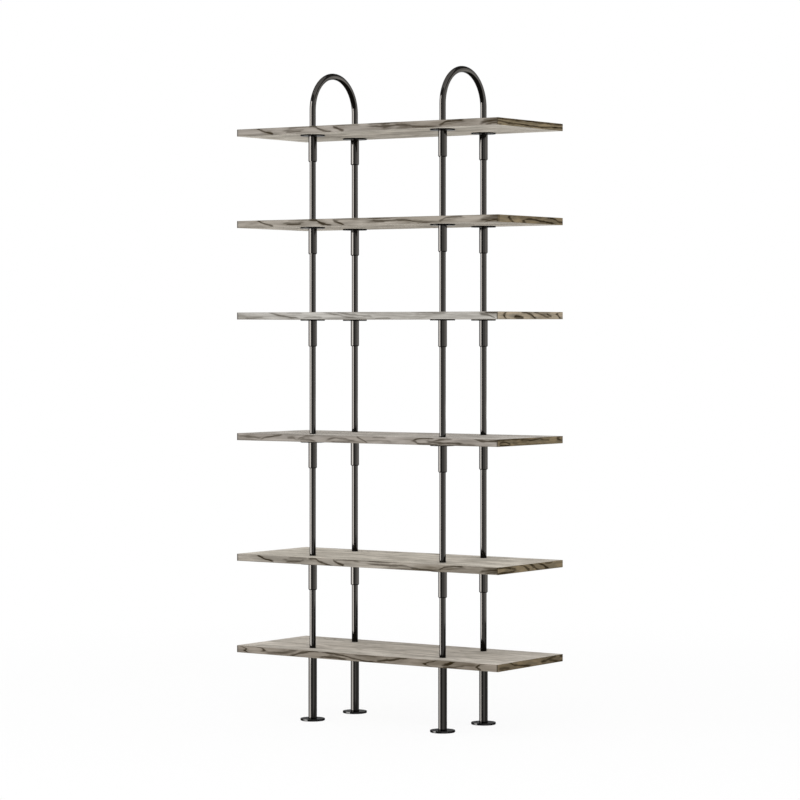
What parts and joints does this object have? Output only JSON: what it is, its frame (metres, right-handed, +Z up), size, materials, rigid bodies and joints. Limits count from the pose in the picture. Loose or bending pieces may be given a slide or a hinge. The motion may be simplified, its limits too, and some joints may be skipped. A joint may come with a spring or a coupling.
{
  "type": "shelving unit",
  "caption": "Free-standing open shelving unit: wooden shelves on four round metal posts with flanged couplings, levelling feet and a hoop over each end.",
  "frame": {"origin": "on the floor, under the middle of the shelves", "axes": "+Z up, +X along the width to the right seen from the front, -Y towards the front"},
  "size_m": [1.1, 0.41, 2.2755],
  "materials": {
    "shelf_veneer": "matt grey-washed veneer with dark figure",
    "post_metal": "glossy gunmetal black",
    "foot_metal": "glossy gunmetal black",
    "fastener_steel": "black oxide steel"
  },
  "bodies": {
    "frame": {"coupling_level_2_back_left": "post_metal", "coupling_level_2_back_right": "post_metal", "coupling_level_2_front_left": "post_metal", "coupling_level_2_front_right": "post_metal", "coupling_level_3_back_left": "post_metal", "coupling_level_3_back_right": "post_metal", "coupling_level_3_front_left": "post_metal", "coupling_level_3_front_right": "post_metal", "coupling_level_4_back_left": "post_metal", "coupling_level_4_back_right": "post_metal", "coupling_level_4_front_left": "post_metal", "coupling_level_4_front_right": "post_metal", "coupling_level_5_back_left": "post_metal", "coupling_level_5_back_right": "post_metal", "coupling_level_5_front_left": "post_metal", "coupling_level_5_front_right": "post_metal", "coupling_level_6_back_left": "post_metal", "coupling_level_6_back_right": "post_metal", "coupling_level_6_front_left": "post_metal", "coupling_level_6_front_right": "post_metal", "flange_screws": "fastener_steel", "hoop_left": "post_metal", "hoop_right": "post_metal", "leg_back_left": "post_metal", "leg_back_right": "post_metal", "leg_front_left": "post_metal", "leg_front_right": "post_metal", "leg_inserts": "fastener_steel", "set_screws": "fastener_steel", "shelf_level_1": "shelf_veneer", "shelf_level_2": "shelf_veneer", "shelf_level_3": "shelf_veneer", "shelf_level_4": "shelf_veneer", "shelf_level_5": "shelf_veneer", "shelf_level_6": "shelf_veneer", "tube_bay_1_back_left": "post_metal", "tube_bay_1_back_right": "post_metal", "tube_bay_1_front_left": "post_metal", "tube_bay_1_front_right": "post_metal", "tube_bay_2_back_left": "post_metal", "tube_bay_2_back_right": "post_metal", "tube_bay_2_front_left": "post_metal", "tube_bay_2_front_right": "post_metal", "tube_bay_3_back_left": "post_metal", "tube_bay_3_back_right": "post_metal", "tube_bay_3_front_left": "post_metal", "tube_bay_3_front_right": "post_metal", "tube_bay_4_back_left": "post_metal", "tube_bay_4_back_right": "post_metal", "tube_bay_4_front_left": "post_metal", "tube_bay_4_front_right": "post_metal", "tube_bay_5_back_left": "post_metal", "tube_bay_5_back_right": "post_metal", "tube_bay_5_front_left": "post_metal", "tube_bay_5_front_right": "post_metal"},
    "foot_back_left": {"foot_back_left": "foot_metal"},
    "foot_back_right": {"foot_back_right": "foot_metal"},
    "foot_front_left": {"foot_front_left": "foot_metal"},
    "foot_front_right": {"foot_front_right": "foot_metal"}
  },
  "joints": [
    {"name": "foot_back_left_height", "type": "slide", "parent": "frame", "child": "foot_back_left", "axis": [0, 0, -1], "range_m": [0, 0.012]},
    {"name": "foot_back_right_height", "type": "slide", "parent": "frame", "child": "foot_back_right", "axis": [0, 0, -1], "range_m": [0, 0.012]},
    {"name": "foot_front_left_height", "type": "slide", "parent": "frame", "child": "foot_front_left", "axis": [0, 0, -1], "range_m": [0, 0.012]},
    {"name": "foot_front_right_height", "type": "slide", "parent": "frame", "child": "foot_front_right", "axis": [0, 0, -1], "range_m": [0, 0.012]}
  ]
}
